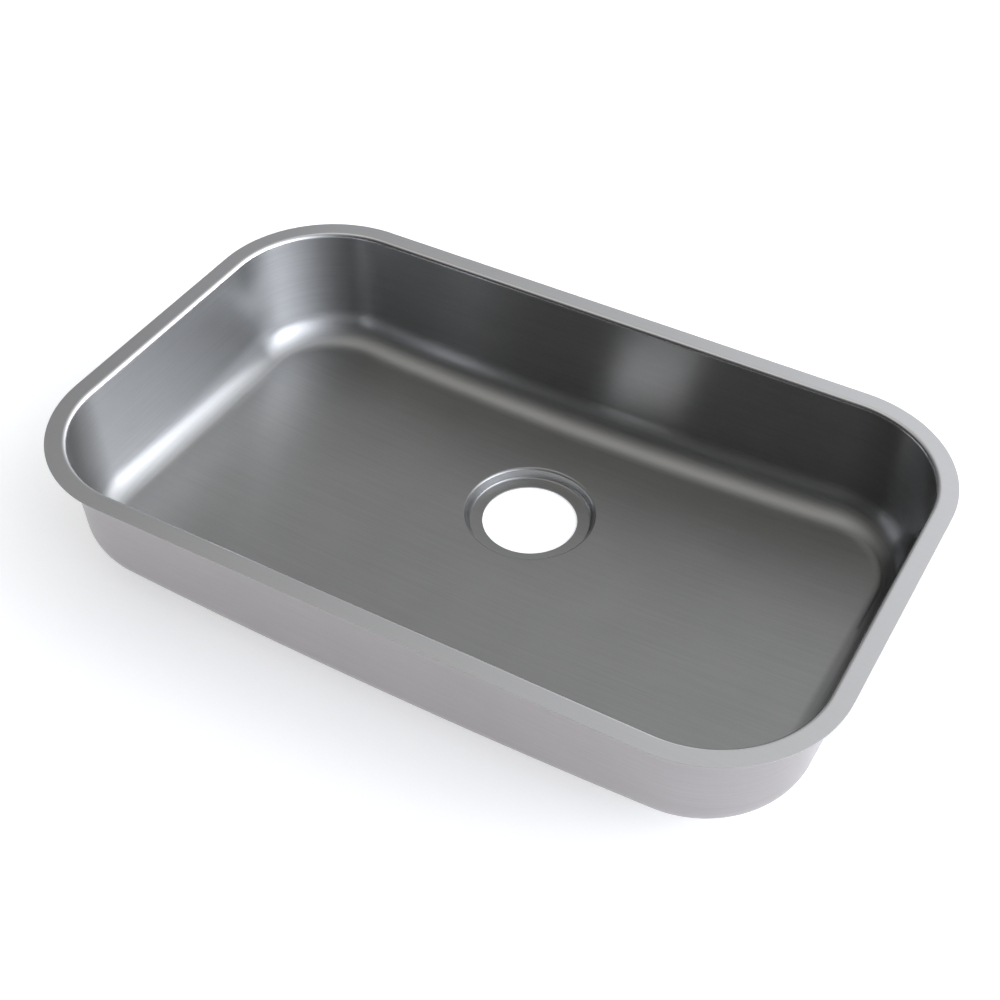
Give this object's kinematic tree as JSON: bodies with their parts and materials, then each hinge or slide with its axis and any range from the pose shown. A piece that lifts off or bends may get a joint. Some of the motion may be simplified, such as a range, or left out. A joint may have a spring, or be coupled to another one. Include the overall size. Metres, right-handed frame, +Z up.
{
  "type": "undermount kitchen sink",
  "caption": "Shallow undermount kitchen sink pressed from stainless steel, with a flat flange, rounded corners, a dished floor and a stepped drain recess.",
  "frame": {"origin": "centre of the base plane: under the middle of the flange, on the plane of the sink's lowest face, which is the underside of the drain ledge", "axes": "+Z up, out of the bowl; +X along the sink, to the right; -Y to the front, the side away from the drain"},
  "size_m": [0.74, 0.46, 0.1422],
  "materials": {
    "stainless_steel": "satin, finely brushed along the sink",
    "damping_rubber": "matt, fine leathery skin"
  },
  "bodies": {
    "root": {"sink_bowl": "stainless_steel", "left_damping_pad": "damping_rubber", "right_damping_pad": "damping_rubber", "front_damping_pad": "damping_rubber"}
  },
  "joints": []
}
